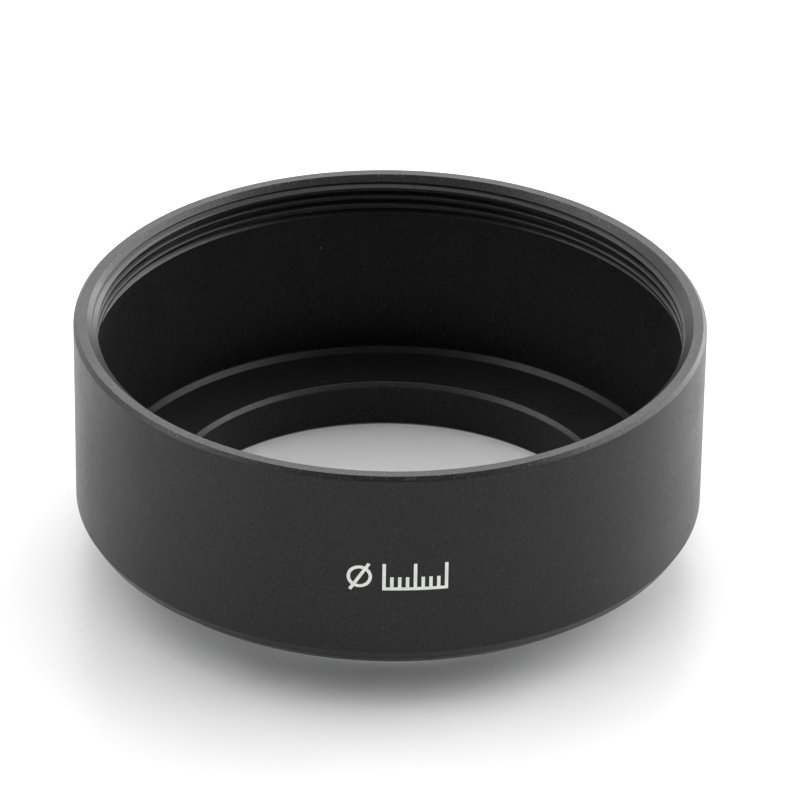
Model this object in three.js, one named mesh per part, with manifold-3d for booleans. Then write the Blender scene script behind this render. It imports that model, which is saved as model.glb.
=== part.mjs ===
// A screw-in lens hood of turned, black anodised aluminium, in millimetres.
//
// The optical axis is +Z. The origin is the centre of the rear thread's end face, so the hood
// stands on z = 0 as it does on a table, with its open mouth upwards. The lens is at the rear,
// below z = 0. The engraved mark faces -Y.

import * as THREE from 'three';
import { mergeVertices } from 'three/addons/utils/BufferGeometryUtils.js';
import Module from 'manifold-3d';

const wasm = await Module();
wasm.setup();

// Driving dimensions.
const outerRadius = 24.5;
const totalHeight = 20;
const threadPitch = 0.75;
const frontThreadMajorRadius = 23.05;
const frontThreadMinorRadius = 22.65;
const rearThreadMajorRadius = 18.5;
const rearThreadLength = 3;
const floorThickness = 0.9;
const throatRadius = 17.5;

// Heights that follow from them.
const seatZ = rearThreadLength;
const floorZ = seatZ + floorThickness;

// Barrel: bore, rim and edges.
const boreRadius = 22.95;
const rimInnerRadius = 23.45;
const rimBevel = 0.3;
const floorBevel = { radial: 0.35, axial: 0.5 };
const lowerEdgeBevel = { radial: 0.5, axial: 0.85 };
const lowerEdgeZ = seatZ + 0.9;
const undersideRadius = 22.9;

// Barrel: the relief groove that the front thread runs out into.
const reliefRadius = 23.25;
const reliefTopZ = totalHeight - 2.65;
const reliefBottomZ = totalHeight - 2.98;

// The hole in the barrel's rear end, at the foot of the floor bevel, where the mount ring is
// bonded in.
const socketRadius = boreRadius - floorBevel.radial;
const bondGap = 0.05;

// Mount ring: edges, the undercut at the root of the rear thread, and the shallow groove that
// keeps the lens seat clear of the thread.
const throatBevel = 0.35;
const throatEndBevel = 0.25;
const threadStartBevel = 0.15;
const undercutRadius = 18;
const undercutHeight = 0.5;
const seatInnerRadius = rearThreadMajorRadius + 0.1;
const seatReliefDepth = 0.1;

// Threads: 60 degree flanks, with narrow flats where the groove is deepest.
const flankSlope = Math.tan(THREE.MathUtils.degToRad(30));
const rearThreadDepth = 0.54 * threadPitch;
const frontRootFlat = threadPitch / 8;
const rearRootFlat = threadPitch / 4;
const cutterOverrun = 0.05;

// The front thread's groove is at this height on the side away from the mark.
const frontThreadBackZ = totalHeight - 0.57;

// The engraved mark: narrow strokes in a pocket with paint in it.
const mark = {
  centreZ: 11.45,
  azimuth: THREE.MathUtils.degToRad(1.6),
  height: 2.3,
  stroke: 0.26,
  depth: 0.2,
  paintDepth: 0.15,
  paintGap: 0.05,
  signX: -2.75,
  signRadius: 0.82,
  slashAngle: THREE.MathUtils.degToRad(58),
  scaleStartX: -0.9,
  tickSpacing: 0.585,
  tickCount: 9,
  shortTickRatio: 0.5,
};

// Round surfaces are turned with this many flats, and the threads use the same steps.
const roundSegments = 72;
const stepAngle = (2 * Math.PI) / roundSegments;

const anodisedAluminium = new THREE.MeshStandardMaterial({
  name: 'anodised_aluminium',
  color: 0x1b1b1c,
  roughness: 0.42,
  metalness: 0.6,
});
const markPaint = new THREE.MeshStandardMaterial({
  name: 'mark_paint',
  color: 0xf2f2ee,
  roughness: 0.6,
  metalness: 0,
});

// A closed three.js geometry as a manifold-3d solid.
function toSolid(geometry) {
  const shape = geometry.clone();
  for (const name of Object.keys(shape.attributes)) {
    if (name !== 'position') {
      shape.deleteAttribute(name);
    }
  }
  const merged = mergeVertices(shape);
  return new wasm.Manifold(new wasm.Mesh({
    numProp: 3,
    vertProperties: new Float32Array(merged.attributes.position.array),
    triVerts: new Uint32Array(merged.index.array),
  }));
}

// A manifold-3d solid as a named mesh.
function toMesh(name, solid, material) {
  const { vertProperties, triVerts } = solid.getMesh();
  const geometry = new THREE.BufferGeometry();
  geometry.setAttribute('position', new THREE.BufferAttribute(vertProperties, 3));
  geometry.setIndex(new THREE.BufferAttribute(triVerts, 1));
  geometry.computeVertexNormals();
  const mesh = new THREE.Mesh(geometry, material);
  mesh.name = name;
  return mesh;
}

// A solid turned about Z. The outline is a list of [radius, z], counter-clockwise.
function turned(outline) {
  const points = [...outline, outline[0]].map(([radius, z]) => new THREE.Vector2(radius, z));
  const geometry = new THREE.LatheGeometry(points, roundSegments);
  return toSolid(geometry.rotateX(Math.PI / 2));
}

// The shape a threading tool removes: a trapezoid section swept up a right-hand helix.
// rootRadius is where the groove is deepest, and mouthRadius is past the surface it opens on.
function threadCutter({ rootRadius, mouthRadius, rootFlat, zAtAngleZero, lowZ, highZ }) {
  const rootHalf = rootFlat / 2;
  const mouthHalf = rootHalf + Math.abs(mouthRadius - rootRadius) * flankSlope;
  const corners = [
    [rootRadius, -rootHalf],
    [mouthRadius, -mouthHalf],
    [mouthRadius, mouthHalf],
    [rootRadius, rootHalf],
  ];
  if (mouthRadius < rootRadius) {
    corners.reverse();
  }
  const risePerStep = threadPitch / roundSegments;
  const firstStep = Math.round((lowZ - zAtAngleZero) / risePerStep);
  const lastStep = Math.round((highZ - zAtAngleZero) / risePerStep);

  const positions = [];
  for (let step = firstStep; step <= lastStep; step += 1) {
    const angle = step * stepAngle;
    const z = zAtAngleZero + step * risePerStep;
    for (const [radius, dz] of corners) {
      positions.push(radius * Math.sin(angle), -radius * Math.cos(angle), z + dz);
    }
  }
  const faces = [0, 1, 2, 0, 2, 3];
  const sections = lastStep - firstStep;
  for (let section = 0; section < sections; section += 1) {
    for (let corner = 0; corner < 4; corner += 1) {
      const a = section * 4 + corner;
      const b = section * 4 + ((corner + 1) % 4);
      faces.push(a, b + 4, b, a, a + 4, b + 4);
    }
  }
  const end = sections * 4;
  faces.push(end, end + 2, end + 1, end, end + 3, end + 2);

  const geometry = new THREE.BufferGeometry();
  geometry.setAttribute('position', new THREE.Float32BufferAttribute(positions, 3));
  geometry.setIndex(faces);
  return toSolid(geometry);
}

// The barrel as it comes off the lathe, before its thread is cut and its mark is engraved.
function barrelBlank() {
  const leadIn = rimInnerRadius - frontThreadMinorRadius;
  return turned([
    [undersideRadius, seatZ],
    [outerRadius - lowerEdgeBevel.radial, lowerEdgeZ],
    [outerRadius, lowerEdgeZ + lowerEdgeBevel.axial],
    [outerRadius, totalHeight - rimBevel],
    [outerRadius - rimBevel, totalHeight],
    [rimInnerRadius, totalHeight],
    [frontThreadMinorRadius, totalHeight - leadIn],
    [frontThreadMinorRadius, reliefTopZ],
    [reliefRadius, reliefTopZ],
    [reliefRadius, reliefBottomZ],
    [boreRadius, reliefBottomZ - (reliefRadius - boreRadius)],
    [boreRadius, floorZ + floorBevel.axial],
    [socketRadius, floorZ],
    [socketRadius, seatZ],
  ]);
}

function frontThreadCutter() {
  return threadCutter({
    rootRadius: frontThreadMajorRadius,
    mouthRadius: frontThreadMinorRadius - cutterOverrun,
    rootFlat: frontRootFlat,
    zAtAngleZero: frontThreadBackZ - threadPitch / 2,
    lowZ: (reliefTopZ + reliefBottomZ) / 2,
    highZ: totalHeight + threadPitch / 2,
  });
}

function mountRing() {
  const rootRadius = rearThreadMajorRadius - rearThreadDepth;
  const blank = turned([
    [throatRadius + throatEndBevel, 0],
    [rearThreadMajorRadius - threadStartBevel, 0],
    [rearThreadMajorRadius, threadStartBevel],
    [rearThreadMajorRadius, seatZ - undercutHeight],
    [undercutRadius, seatZ - undercutHeight],
    [undercutRadius, seatZ + seatReliefDepth],
    [seatInnerRadius, seatZ + seatReliefDepth],
    [seatInnerRadius, seatZ],
    [socketRadius - bondGap, seatZ],
    [socketRadius - bondGap, floorZ],
    [throatRadius + throatBevel, floorZ],
    [throatRadius, floorZ - throatBevel],
    [throatRadius, throatEndBevel],
  ]);
  return blank.subtract(threadCutter({
    rootRadius,
    mouthRadius: rearThreadMajorRadius + cutterOverrun,
    rootFlat: rearRootFlat,
    zAtAngleZero: 0,
    lowZ: -threadPitch / 2,
    highZ: seatZ - undercutHeight / 2,
  }));
}

// A flat shape in the mark's own plane, x to the right and y up, as a prism through the
// barrel's wall on its -Y side.
function markPrism(shape) {
  const geometry = new THREE.ExtrudeGeometry(shape, {
    depth: outerRadius - boreRadius + 1,
    bevelEnabled: false,
    curveSegments: 12,
  });
  geometry.translate(0, 0, boreRadius);
  geometry.rotateX(Math.PI / 2);
  geometry.translate(0, 0, mark.centreZ);
  geometry.rotateZ(mark.azimuth);
  return toSolid(geometry);
}

function barShape(centreX, centreY, width, height, angle = 0) {
  const corners = [[-1, -1], [1, -1], [1, 1], [-1, 1]].map(([sideX, sideY]) => {
    const corner = new THREE.Vector2((sideX * width) / 2, (sideY * height) / 2);
    corner.rotateAround(new THREE.Vector2(0, 0), angle);
    return corner.add(new THREE.Vector2(centreX, centreY));
  });
  return new THREE.Shape(corners);
}

// A diameter sign: a ring with a slash through it. grow widens every stroke on each side.
function sizeSign(grow) {
  const half = mark.stroke / 2 + grow;
  const ring = new THREE.Shape();
  ring.absarc(mark.signX, 0, mark.signRadius + half, 0, 2 * Math.PI, false);
  const hole = new THREE.Path();
  hole.absarc(mark.signX, 0, mark.signRadius - half, 0, 2 * Math.PI, true);
  ring.holes.push(hole);
  const slashLength = mark.height / Math.sin(mark.slashAngle) + 2 * grow;
  const slash = barShape(mark.signX, 0, slashLength, 2 * half, mark.slashAngle);
  return markPrism(ring).add(markPrism(slash));
}

// A row of upright ticks on a base line, the first, middle and last at full height.
function tickScale(grow) {
  const width = mark.stroke + 2 * grow;
  const span = (mark.tickCount - 1) * mark.tickSpacing;
  const bottom = -mark.height / 2 - grow;
  const middle = (mark.tickCount - 1) / 2;
  const baseCentreX = mark.scaleStartX + span / 2;
  let solid = markPrism(barShape(baseCentreX, bottom + width / 2, span + width, width));
  for (let tick = 0; tick < mark.tickCount; tick += 1) {
    const full = tick % middle === 0;
    const height = mark.height * (full ? 1 : mark.shortTickRatio) + 2 * grow;
    const x = mark.scaleStartX + tick * mark.tickSpacing;
    solid = solid.add(markPrism(barShape(x, bottom + height / 2, width, height)));
  }
  return solid;
}

// A thin ring just under the barrel's side that limits how deep a mark goes.
function sideLayer(depth) {
  const margin = 1;
  return turned([
    [outerRadius - depth, mark.centreZ - mark.height],
    [outerRadius + margin, mark.centreZ - mark.height],
    [outerRadius + margin, mark.centreZ + mark.height],
    [outerRadius - depth, mark.centreZ + mark.height],
  ]);
}

const blank = barrelBlank();
const pocketLayer = sideLayer(mark.depth);
const paintLayer = sideLayer(mark.paintDepth).intersect(blank);
const barrel = blank
  .subtract(frontThreadCutter())
  .subtract(sizeSign(mark.paintGap).intersect(pocketLayer))
  .subtract(tickScale(mark.paintGap).intersect(pocketLayer));

const group = new THREE.Group();
group.add(
  toMesh('shade_barrel', barrel, anodisedAluminium),
  toMesh('mount_ring', mountRing(), anodisedAluminium),
  toMesh('mark_size_sign', sizeSign(0).intersect(paintLayer), markPaint),
  toMesh('mark_tick_scale', tickScale(0).intersect(paintLayer), markPaint),
);

export default group;
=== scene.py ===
"""The looks of a screw-in lens hood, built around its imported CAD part, in metres.

The hood stands on its rear thread, and its optical axis is +Z. An angle round the axis is
measured from the side with the mark, -Y, towards +X. Both turned pieces are rows of points
swept round the axis, and their threads are cut into those rows. The mark is a film of paint.
"""

import math
from collections import namedtuple

import bmesh
import bpy
from mathutils import Matrix, Quaternion, Vector


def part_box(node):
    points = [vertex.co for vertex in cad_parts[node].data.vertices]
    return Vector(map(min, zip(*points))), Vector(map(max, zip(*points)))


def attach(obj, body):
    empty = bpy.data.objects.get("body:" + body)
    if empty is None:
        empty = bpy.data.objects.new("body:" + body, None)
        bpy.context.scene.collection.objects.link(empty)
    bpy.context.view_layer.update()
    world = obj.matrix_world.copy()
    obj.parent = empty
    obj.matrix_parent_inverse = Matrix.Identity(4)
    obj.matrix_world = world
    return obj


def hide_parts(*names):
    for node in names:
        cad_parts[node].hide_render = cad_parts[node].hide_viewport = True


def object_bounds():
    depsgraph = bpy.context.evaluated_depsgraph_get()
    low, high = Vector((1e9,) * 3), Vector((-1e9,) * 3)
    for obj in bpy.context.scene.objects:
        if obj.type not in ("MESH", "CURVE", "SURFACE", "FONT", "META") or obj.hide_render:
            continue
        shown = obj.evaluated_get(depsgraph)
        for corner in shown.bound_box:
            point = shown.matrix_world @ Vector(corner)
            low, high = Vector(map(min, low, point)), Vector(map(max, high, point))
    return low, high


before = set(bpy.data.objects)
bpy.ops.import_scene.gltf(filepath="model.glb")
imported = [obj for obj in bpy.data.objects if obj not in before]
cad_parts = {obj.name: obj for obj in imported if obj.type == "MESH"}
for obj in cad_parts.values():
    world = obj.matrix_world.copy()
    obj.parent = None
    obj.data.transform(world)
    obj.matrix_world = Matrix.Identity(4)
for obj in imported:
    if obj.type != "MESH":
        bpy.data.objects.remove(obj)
cad_low, cad_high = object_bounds()

MM = 0.001

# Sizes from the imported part.
OUTER_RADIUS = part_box("shade_barrel")[1].x
TOP = cad_high.z
SEAT_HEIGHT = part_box("shade_barrel")[0].z
FLOOR_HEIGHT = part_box("mount_ring")[1].z

# Threads.
PITCH = 0.75 * MM
FLANK_SLOPE = math.tan(math.radians(30))
FRONT_MAJOR_RADIUS = 23.05 * MM
FRONT_MINOR_RADIUS = 22.65 * MM
FRONT_ROOT_FLAT = PITCH / 8
FRONT_GROOVE_HEIGHT = TOP - 0.57 * MM - PITCH / 2
REAR_MAJOR_RADIUS = 18.5 * MM
REAR_MINOR_RADIUS = REAR_MAJOR_RADIUS - 0.54 * PITCH
REAR_ROOT_FLAT = PITCH / 4
REAR_GROOVE_HEIGHT = 0

# Barrel.
RIM_INNER_RADIUS = 23.45 * MM
RIM_BEVEL = 0.3 * MM
RELIEF_RADIUS = 23.25 * MM
RELIEF_TOP = TOP - 2.65 * MM
RELIEF_BOTTOM = TOP - 2.98 * MM
BORE_RADIUS = 22.95 * MM
FLOOR_BEVEL_WIDTH = 0.35 * MM
FLOOR_BEVEL_HEIGHT = 0.5 * MM
LOWER_BEVEL_WIDTH = 0.5 * MM
LOWER_BEVEL_HEIGHT = 0.85 * MM
LOWER_BEVEL_RISE = 0.9 * MM
UNDERSIDE_RADIUS = 22.9 * MM

# Mount ring. Its outside is a hair clear of the barrel, where the joint line is.
SOCKET_RADIUS = BORE_RADIUS - FLOOR_BEVEL_WIDTH
JOINT_LINE = 0.01 * MM
THROAT_RADIUS = 17.5 * MM
THROAT_BEVEL = 0.35 * MM
THROAT_END_BEVEL = 0.25 * MM
THREAD_START_BEVEL = 0.15 * MM
UNDERCUT_RADIUS = 18 * MM
UNDERCUT_HEIGHT = 0.5 * MM
SEAT_INNER_RADIUS = REAR_MAJOR_RADIUS + 0.1 * MM
SEAT_RELIEF_DEPTH = 0.1 * MM

# Mesh steps.
TURN_STEPS = 384
THREAD_ROW = 0.03 * MM
ARC_STEPS = 4
SUPPORT_ROW = 0.03 * MM
LONGEST_ROW = 1.5 * MM

# The mark on the barrel's side, drawn flat and then wrapped round the barrel.
MARK_HEIGHT = 11.45 * MM
MARK_ANGLE = math.radians(1.6)
MARK_SIZE = 2.3 * MM
STROKE = 0.26 * MM
SIGN_X = -2.75 * MM
SIGN_RADIUS = 0.82 * MM
SLASH_ANGLE = math.radians(58)
SCALE_START_X = -0.9 * MM
TICK_SPACING = 0.585 * MM
TICK_COUNT = 9
SHORT_TICK = 0.5
PAINT_ABOVE = 0.012 * MM
PAINT_BELOW = 0.02 * MM
PAINT_EDGE = 0.008 * MM
PAINT_STRIP = 0.12 * MM
SIGN_STEPS = 40
TICK_ROUNDING = 0.03 * MM

# The table, the lamps, and the camera, which aims a little to the right of the hood's middle.
FLOOR_RADIUS = 0.9
FLOOR_GAP = 0.02 * MM
SOFTBOX_DISTANCE = 1
CAMERA_ELEVATION = 30.57
CAMERA_DISTANCE = 458.91 * MM
CAMERA_PIVOT = 8 * MM
CAMERA_AIM = Vector((0.839, 1.990, 11.368)) * MM
CAMERA_ROLL = 0.809
CAMERA_LENS = 263.53

# A corner of an outline: its distance from the axis and its height, the radius of the arc that
# rounds it, how far apart the rows after it may be, and whether the face after it is matt.
Corner = namedtuple("Corner", "across up rounding row matt", defaults=(0, LONGEST_ROW, False))


def corner_points(before, corner, after):
    """The arc that rounds one corner, with a support row beside each end so that flats stay flat."""
    here = Vector((corner.across, corner.up))
    if corner.rounding == 0:
        return [here]
    back = (Vector((before.across, before.up)) - here).normalized()
    onward = (Vector((after.across, after.up)) - here).normalized()
    half = back.angle(onward) / 2
    setback = corner.rounding / math.tan(half)
    centre = here + (back + onward).normalized() * corner.rounding / math.sin(half)
    first = here + back * setback - centre
    turn = first.angle_signed(here + onward * setback - centre)
    arc = [centre + Matrix.Rotation(-turn * step / ARC_STEPS, 2) @ first for step in range(ARC_STEPS + 1)]
    support = setback + SUPPORT_ROW
    return [here + back * support, *arc, here + onward * support]


def rounded(corners):
    """The points of a closed outline, with its corners rounded and its long stretches divided.

    With each point comes whether the row of faces after it is matt.
    """
    befores = corners[-1:] + corners[:-1]
    afters = corners[1:] + corners[:1]
    groups = [corner_points(*three) for three in zip(befores, corners, afters)]
    points = []
    matt = []
    for corner, group, after in zip(corners, groups, groups[1:] + groups[:1]):
        gap = after[0] - group[-1]
        rows = max(1, math.ceil(gap.length / corner.row))
        points += group + [group[-1] + gap * row / rows for row in range(1, rows)]
        matt += [False] * (len(group) - 1) + [corner.matt] * rows
    return points, matt


def groove_offset(angle, height, height_at_mark):
    """How far a height is from the middle of the nearest turn of a right-hand groove."""
    turns = (height - height_at_mark) / PITCH - angle / math.tau
    return abs(turns - round(turns)) * PITCH


def front_thread(angle, radius, height):
    """Cuts the female thread into the bore's rows: a groove that opens inwards."""
    if height < RELIEF_TOP - SUPPORT_ROW / 2:
        return radius
    past_root = groove_offset(angle, height, FRONT_GROOVE_HEIGHT) - FRONT_ROOT_FLAT / 2
    return max(radius, FRONT_MAJOR_RADIUS - max(0, past_root) / FLANK_SLOPE)


def rear_thread(angle, radius, height):
    """Cuts the male thread into the ring's rows: a groove that opens outwards."""
    if height > SEAT_HEIGHT - UNDERCUT_HEIGHT + SUPPORT_ROW / 2:
        return radius
    past_root = groove_offset(angle, height, REAR_GROOVE_HEIGHT) - REAR_ROOT_FLAT / 2
    return min(radius, REAR_MINOR_RADIUS + max(0, past_root) / FLANK_SLOPE)


def turned(name, corners, thread):
    """A closed ring: the outline swept round the axis, with a thread cut into it.

    Its matt faces are in the second material slot.
    """
    outline, matt = rounded(corners)
    rows = len(outline)
    points = []
    for step in range(TURN_STEPS):
        angle = math.tau * step / TURN_STEPS
        for point in outline:
            radius = thread(angle, point.x, point.y)
            points.append((radius * math.sin(angle), -radius * math.cos(angle), point.y))
    faces = []
    for step in range(TURN_STEPS):
        here = step * rows
        after = (step + 1) % TURN_STEPS * rows
        for row in range(rows):
            above = (row + 1) % rows
            faces.append((here + row, after + row, after + above, here + above))
    mesh = bpy.data.meshes.new(name)
    mesh.from_pydata(points, [], faces)
    mesh.polygons.foreach_set("material_index", matt * TURN_STEPS)
    mesh.shade_smooth()
    return add_object(name, mesh)


def add_object(name, data):
    item = bpy.data.objects.new(name, data)
    bpy.context.scene.collection.objects.link(item)
    return item


def make_barrel():
    lead_in = RIM_INNER_RADIUS - FRONT_MINOR_RADIUS
    relief_step = RELIEF_RADIUS - BORE_RADIUS
    bevel_bottom = SEAT_HEIGHT + LOWER_BEVEL_RISE
    return turned("barrel_shell", [
        Corner(SOCKET_RADIUS, SEAT_HEIGHT, 0.02 * MM),
        Corner(UNDERSIDE_RADIUS, SEAT_HEIGHT, 0.05 * MM),
        Corner(OUTER_RADIUS - LOWER_BEVEL_WIDTH, bevel_bottom, 0.08 * MM),
        Corner(OUTER_RADIUS, bevel_bottom + LOWER_BEVEL_HEIGHT, 0.12 * MM),
        Corner(OUTER_RADIUS, TOP - RIM_BEVEL, 0.06 * MM),
        Corner(OUTER_RADIUS - RIM_BEVEL, TOP, 0.05 * MM),
        Corner(RIM_INNER_RADIUS, TOP, 0.04 * MM, THREAD_ROW),
        Corner(FRONT_MINOR_RADIUS, TOP - lead_in, 0, THREAD_ROW),
        Corner(FRONT_MINOR_RADIUS, RELIEF_TOP),
        Corner(RELIEF_RADIUS, RELIEF_TOP, 0.02 * MM),
        Corner(RELIEF_RADIUS, RELIEF_BOTTOM, 0.02 * MM),
        Corner(BORE_RADIUS, RELIEF_BOTTOM - relief_step, 0.03 * MM, matt=True),
        Corner(BORE_RADIUS, FLOOR_HEIGHT + FLOOR_BEVEL_HEIGHT, 0.25 * MM),
        Corner(SOCKET_RADIUS, FLOOR_HEIGHT, 0.01 * MM),
    ], front_thread)


def make_mount_ring():
    undercut_bottom = SEAT_HEIGHT - UNDERCUT_HEIGHT
    relief_top = SEAT_HEIGHT + SEAT_RELIEF_DEPTH
    outside = SOCKET_RADIUS - JOINT_LINE
    return turned("lens_mount_ring", [
        Corner(THROAT_RADIUS + THROAT_END_BEVEL, 0),
        Corner(REAR_MAJOR_RADIUS - THREAD_START_BEVEL, 0, 0, THREAD_ROW),
        Corner(REAR_MAJOR_RADIUS, THREAD_START_BEVEL, 0, THREAD_ROW),
        Corner(REAR_MAJOR_RADIUS, undercut_bottom),
        Corner(UNDERCUT_RADIUS, undercut_bottom),
        Corner(UNDERCUT_RADIUS, relief_top, 0.04 * MM),
        Corner(SEAT_INNER_RADIUS, relief_top, 0.02 * MM),
        Corner(SEAT_INNER_RADIUS, SEAT_HEIGHT, 0.02 * MM),
        Corner(outside, SEAT_HEIGHT, 0.05 * MM),
        Corner(outside, FLOOR_HEIGHT, 0.02 * MM, matt=True),
        Corner(THROAT_RADIUS + THROAT_BEVEL, FLOOR_HEIGHT, 0.12 * MM),
        Corner(THROAT_RADIUS, FLOOR_HEIGHT - THROAT_BEVEL, 0.12 * MM, matt=True),
        Corner(THROAT_RADIUS, THROAT_END_BEVEL, 0.04 * MM),
    ], rear_thread)


def wrapped_paint(name, outlines):
    """A film of paint wrapped round the barrel. The first outline is its edge, the rest are holes.

    It is drawn flat and in millimetres, cut into narrow upright strips, and then bent.
    """
    thickness = (PAINT_ABOVE + PAINT_BELOW) / MM
    curve = bpy.data.curves.new(name, "CURVE")
    curve.dimensions = "2D"
    curve.fill_mode = "BOTH"
    curve.bevel_depth = PAINT_EDGE / MM
    curve.bevel_resolution = 2
    curve.offset = -curve.bevel_depth
    curve.extrude = thickness / 2 - curve.bevel_depth
    for outline in outlines:
        spline = curve.splines.new("POLY")
        spline.points.add(len(outline) - 1)
        spline.use_cyclic_u = True
        for point, place in zip(spline.points, outline):
            point.co = (place.x / MM, place.y / MM, 0, 1)
    drawing = bpy.data.objects.new(name, curve)
    mesh = bpy.data.meshes.new_from_object(drawing)
    mesh.name = name
    bpy.data.objects.remove(drawing)

    cut = bmesh.new()
    cut.from_mesh(mesh)
    bmesh.ops.remove_doubles(cut, verts=cut.verts, dist=PAINT_EDGE / MM / 20)
    reach = max(abs(vertex.co.x) for vertex in cut.verts)
    strip = PAINT_STRIP / MM
    for step in range(-math.floor(reach / strip), math.ceil(reach / strip)):
        everything = cut.verts[:] + cut.edges[:] + cut.faces[:]
        bmesh.ops.bisect_plane(cut, geom=everything, plane_co=(step * strip, 0, 0), plane_no=(1, 0, 0))
    for vertex in cut.verts:
        flat = vertex.co * MM
        angle = MARK_ANGLE + flat.x / OUTER_RADIUS
        radius = OUTER_RADIUS + flat.z + (PAINT_ABOVE - PAINT_BELOW) / 2
        vertex.co = (radius * math.sin(angle), -radius * math.cos(angle), MARK_HEIGHT + flat.y)
    cut.to_mesh(mesh)
    cut.free()
    mesh.shade_smooth()
    return add_object(name, mesh)


def make_size_sign():
    """A diameter sign: a ring with a slash through it."""
    half = STROKE / 2
    reach = MARK_SIZE / math.sin(SLASH_ANGLE) / 2
    slant = Matrix.Rotation(SLASH_ANGLE, 2)

    def half_circle(radius, side):
        """The half of a circle on one side of the slash, up to the slash's edges."""
        start = math.asin(half / radius)
        angles = [start + (math.pi - 2 * start) * step / SIGN_STEPS for step in range(SIGN_STEPS + 1)]
        return [side * radius * Vector((math.cos(angle), math.sin(angle))) for angle in angles]

    outer = SIGN_RADIUS + half
    inner = SIGN_RADIUS - half
    edge = half_circle(outer, 1) + [Vector((-reach, half)), Vector((-reach, -half))]
    edge += half_circle(outer, -1) + [Vector((reach, -half)), Vector((reach, half))]
    outlines = [edge, half_circle(inner, 1), half_circle(inner, -1)]
    middle = Vector((SIGN_X, 0))
    return wrapped_paint("size_sign_paint", [[slant @ point + middle for point in line] for line in outlines])


def make_tick_scale():
    """A row of upright ticks on a base line, the first, middle and last at full height."""
    half = STROKE / 2
    bottom = -MARK_SIZE / 2
    last = TICK_COUNT - 1
    middles = [SCALE_START_X + tick * TICK_SPACING for tick in range(TICK_COUNT)]
    corners = [(middles[0] - half, bottom), (middles[last] + half, bottom)]
    for tick in reversed(range(TICK_COUNT)):
        full = tick % (last // 2) == 0
        top = bottom + MARK_SIZE * (1 if full else SHORT_TICK)
        if tick < last:
            corners.append((middles[tick] + half, bottom + STROKE))
        corners += [(middles[tick] + half, top), (middles[tick] - half, top)]
        if tick > 0:
            corners.append((middles[tick] - half, bottom + STROKE))
    outline, _ = rounded([Corner(*place, TICK_ROUNDING) for place in corners])
    return wrapped_paint("tick_scale_paint", [outline])


def add_node(tree, kind, inputs=None, **settings):
    """A shader node. Each input is given a value, or another node's output to link to."""
    made = tree.nodes.new(kind)
    for name, value in settings.items():
        setattr(made, name, value)
    for name, value in (inputs or {}).items():
        if isinstance(value, bpy.types.NodeSocket):
            tree.links.new(value, made.inputs[name])
        else:
            made.inputs[name].default_value = value
    return made


def new_material(name, **shader_values):
    """A material with its main shader's constant values set, and its tree and shader."""
    material = bpy.data.materials.new(name)
    material.use_nodes = True
    shader = material.node_tree.nodes["Principled BSDF"]
    for socket, value in shader_values.items():
        shader.inputs[socket.replace("_", " ")].default_value = value
    return material, material.node_tree, shader


def noise(tree, place, size, detail=2, roughness=0.5, dimensions="3D"):
    """Noise from 0 to 1 whose blobs are about the given size in metres."""
    inputs = {"Vector": place, "Scale": 1 / size, "Detail": detail, "Roughness": roughness}
    return add_node(tree, "ShaderNodeTexNoise", inputs, noise_dimensions=dimensions).outputs["Fac"]


def between(tree, value, low, high, to_low=0, to_high=1):
    """A value's place between low and high, smoothly eased, as a number from to_low to to_high."""
    inputs = {"Value": value, "From Min": low, "From Max": high, "To Min": to_low, "To Max": to_high}
    return add_node(tree, "ShaderNodeMapRange", inputs, interpolation_type="SMOOTHSTEP").outputs["Result"]


def times(tree, first, second):
    return add_node(tree, "ShaderNodeMath", {0: first, 1: second}, operation="MULTIPLY").outputs["Value"]


def mixed(tree, share, first, second):
    """The first colour, with a share of the second one in it."""
    inputs = {"Fac": share, "Color1": first, "Color2": second}
    return add_node(tree, "ShaderNodeMixRGB", inputs).outputs["Color"]


def bumped(tree, height, depth, normal=None):
    inputs = {"Height": height, "Distance": depth, "Strength": 1}
    if normal is not None:
        inputs["Normal"] = normal
    return add_node(tree, "ShaderNodeBump", inputs).outputs["Normal"]


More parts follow.
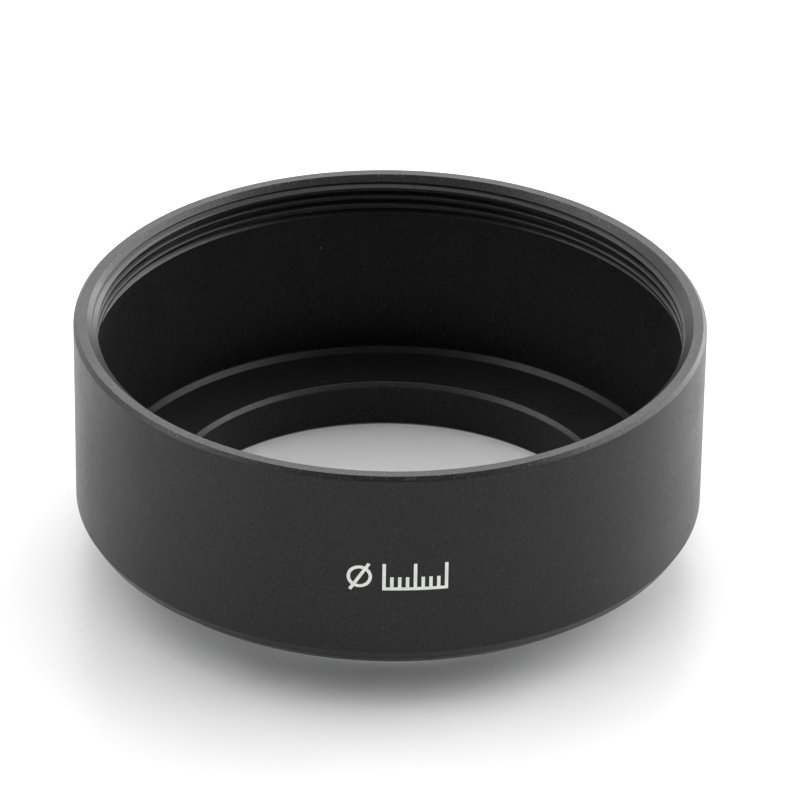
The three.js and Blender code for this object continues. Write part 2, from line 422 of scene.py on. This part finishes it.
def anodised_material(name, ior, smoothest, roughest):
    """Black anodising over fine blasting and turning marks, with dust and rubbed edges."""
    material, tree, shader = new_material(name, IOR=ior)
    place = add_node(tree, "ShaderNodeTexCoord").outputs["Object"]
    across = add_node(tree, "ShaderNodeVectorMath", {0: place, 1: (1, 1, 0)}, operation="MULTIPLY")
    from_axis = add_node(tree, "ShaderNodeVectorMath", {0: across.outputs["Vector"]}, operation="LENGTH")
    height = add_node(tree, "ShaderNodeSeparateXYZ", {"Vector": place}).outputs["Z"]
    lathe_inputs = {"X": from_axis.outputs["Value"], "Y": height}
    lathe_place = add_node(tree, "ShaderNodeCombineXYZ", lathe_inputs).outputs["Vector"]

    blasting = noise(tree, place, 0.09 * MM, detail=3, roughness=0.6)
    turning = noise(tree, lathe_place, 0.06 * MM, detail=1, dimensions="2D")
    handling = noise(tree, place, 5 * MM, detail=4, roughness=0.6)
    mottle = noise(tree, place, 0.5 * MM, detail=3)
    grain = noise(tree, place, 0.13 * MM, detail=2, roughness=0.7)

    cell_inputs = {"Vector": place, "Scale": 1 / (2.6 * MM), "Randomness": 1}
    cells = add_node(tree, "ShaderNodeTexVoronoi", cell_inputs).outputs
    cell_middle = between(tree, cells["Distance"], 0.022, 0.034, 1, 0)
    cell_chance = add_node(tree, "ShaderNodeSeparateColor", {"Color": cells["Color"]}).outputs["Red"]
    specks = times(tree, cell_middle, between(tree, cell_chance, 0.78, 0.8))

    near_rim = between(tree, height, TOP - 0.4 * MM, TOP - 0.1 * MM)
    knocks = between(tree, noise(tree, place, 0.2 * MM, detail=3), 0.56, 0.72)
    rubbed = times(tree, near_rim, knocks)

    black = mixed(tree, handling, (0.0004, 0.0005, 0.0005, 1), (0.0012, 0.0013, 0.0012, 1))
    grained = mixed(tree, between(tree, grain, 0.45, 0.7), black, (0.018, 0.0183, 0.018, 1))
    worn = mixed(tree, rubbed, grained, (0.05, 0.05, 0.05, 1))
    dusty = mixed(tree, specks, worn, (0.09, 0.09, 0.085, 1))
    tree.links.new(dusty, shader.inputs["Base Color"])

    sheen = add_node(tree, "ShaderNodeMath", {0: handling, 1: mottle}, operation="ADD").outputs["Value"]
    tree.links.new(between(tree, sheen, 0.6, 1.4, smoothest, roughest), shader.inputs["Roughness"])

    normal = bumped(tree, turning, 0.0008 * MM)
    normal = bumped(tree, blasting, 0.003 * MM, normal=normal)
    tree.links.new(normal, shader.inputs["Normal"])
    return material


def paint_material():
    """White marking paint: a little uneven, with a fine dry surface."""
    material, tree, shader = new_material("mark_paint", IOR=1.45)
    place = add_node(tree, "ShaderNodeTexCoord").outputs["Object"]
    patches = noise(tree, place, 0.4 * MM, detail=4)
    white = mixed(tree, between(tree, patches, 0.3, 0.7), (0.84, 0.85, 0.83, 1), (0.93, 0.93, 0.91, 1))
    tree.links.new(white, shader.inputs["Base Color"])
    fine = noise(tree, place, 0.05 * MM)
    tree.links.new(between(tree, fine, 0.3, 0.7, 0.45, 0.65), shader.inputs["Roughness"])
    tree.links.new(bumped(tree, fine, 0.002 * MM), shader.inputs["Normal"])
    return material


def floor_material():
    """A plain, pale, slightly translucent table top with a soft gloss."""
    translucency = {"Subsurface Weight": 1, "Subsurface Radius": (1, 1, 1), "Subsurface Scale": 9 * MM}
    pale = (0.7, 0.7, 0.7, 1)
    material, _, shader = new_material("table_top", Base_Color=pale, Roughness=0.3, IOR=1.3, **translucency)
    shader.subsurface_method = "BURLEY"
    return material


def make_floor():
    shape = bmesh.new()
    bmesh.ops.create_circle(shape, cap_ends=True, segments=96, radius=FLOOR_RADIUS)
    mesh = bpy.data.meshes.new("floor")
    shape.to_mesh(mesh)
    shape.free()
    floor = add_object("floor", mesh)
    floor.location.z = cad_low.z - FLOOR_GAP
    return floor


def make_softbox(name, direction, size, radiance):
    """A rectangular lamp that faces the hood, as bright as radiance on its face."""
    light = bpy.data.lights.new(name, "AREA")
    light.shape = "RECTANGLE"
    light.size, light.size_y = size
    light.energy = radiance * math.pi * size[0] * size[1]
    lamp = add_object(name, light)
    lamp.rotation_mode = "QUATERNION"
    lamp.rotation_quaternion = direction.to_track_quat("Z", "Y")
    lamp.location = direction * SOFTBOX_DISTANCE
    lamp.visible_camera = False


def towards(azimuth, elevation):
    """The direction at an angle from the mark's side towards +X, and an angle above the table."""
    azimuth, elevation = math.radians(azimuth), math.radians(elevation)
    flat = math.cos(elevation)
    return Vector((flat * math.sin(azimuth), -flat * math.cos(azimuth), math.sin(elevation)))


def light_scene():
    """Softboxes all round the hood, in a pale room that is darker behind the camera."""
    make_softbox("back_softbox", towards(180, 32), (1.1, 0.6), 3.1)
    make_softbox("right_softbox", towards(105, 38), (0.8, 0.5), 6.2)
    make_softbox("low_right_softbox", towards(130, 11), (0.8, 0.25), 9)
    make_softbox("left_softbox", towards(-105, 45), (0.8, 0.5), 4)
    make_softbox("low_left_softbox", towards(-130, 11), (0.8, 0.25), 2)
    make_softbox("top_softbox", towards(180, 80), (0.8, 0.8), 1.9)
    make_softbox("left_front_softbox", towards(-64, 30), (0.5, 0.35), 2.8)
    make_softbox("right_front_softbox", towards(66, 30), (0.5, 0.35), 1.6)

    world = bpy.data.worlds.new("studio")
    world.use_nodes = True
    bpy.context.scene.world = world
    tree = world.node_tree
    direction = add_node(tree, "ShaderNodeTexCoord").outputs["Generated"]
    along = add_node(tree, "ShaderNodeSeparateXYZ", {"Vector": direction}).outputs
    brighter_low_down = between(tree, along["Z"], 0.02, 0.15, 0.95, 0.5)
    dark_in_front = between(tree, along["Y"], -0.9, -0.4, 0.15, 1)
    strength = times(tree, brighter_low_down, dark_in_front)
    backdrop = tree.nodes["Background"]
    backdrop.inputs["Color"].default_value = (1, 1, 1, 1)
    tree.links.new(strength, backdrop.inputs["Strength"])


def place_camera():
    camera = add_object("camera", bpy.data.cameras.new("camera"))
    camera.data.sensor_width = 36
    camera.data.lens = CAMERA_LENS
    pivot = Vector((0, 0, CAMERA_PIVOT))
    camera.location = pivot + towards(0, CAMERA_ELEVATION) * CAMERA_DISTANCE
    camera.rotation_mode = "QUATERNION"
    look = (CAMERA_AIM - camera.location).to_track_quat("-Z", "Y")
    camera.rotation_quaternion = look @ Quaternion((0, 0, 1), math.radians(CAMERA_ROLL))
    bpy.context.scene.camera = camera


def dress(piece, node, slot, *materials):
    """Makes a piece stand for its CAD node, ride on the hood's only body and wear its finish."""
    for material in materials:
        piece.data.materials.append(material)
    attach(piece, "root")
    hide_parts(node)


anodised = (
    anodised_material("anodised_satin", 1.38, 0.34, 0.42),
    anodised_material("anodised_matt", 1.32, 0.5, 0.6),
)
white_paint = paint_material()
dress(make_barrel(), "shade_barrel", "anodised_aluminium", *anodised)
dress(make_mount_ring(), "mount_ring", "anodised_aluminium", *anodised)
dress(make_size_sign(), "mark_size_sign", "mark_paint", white_paint)
dress(make_tick_scale(), "mark_tick_scale", "mark_paint", white_paint)

floor = make_floor()
floor.data.materials.append(floor_material())

light_scene()
place_camera()
bpy.context.scene.view_settings.view_transform = "Standard"
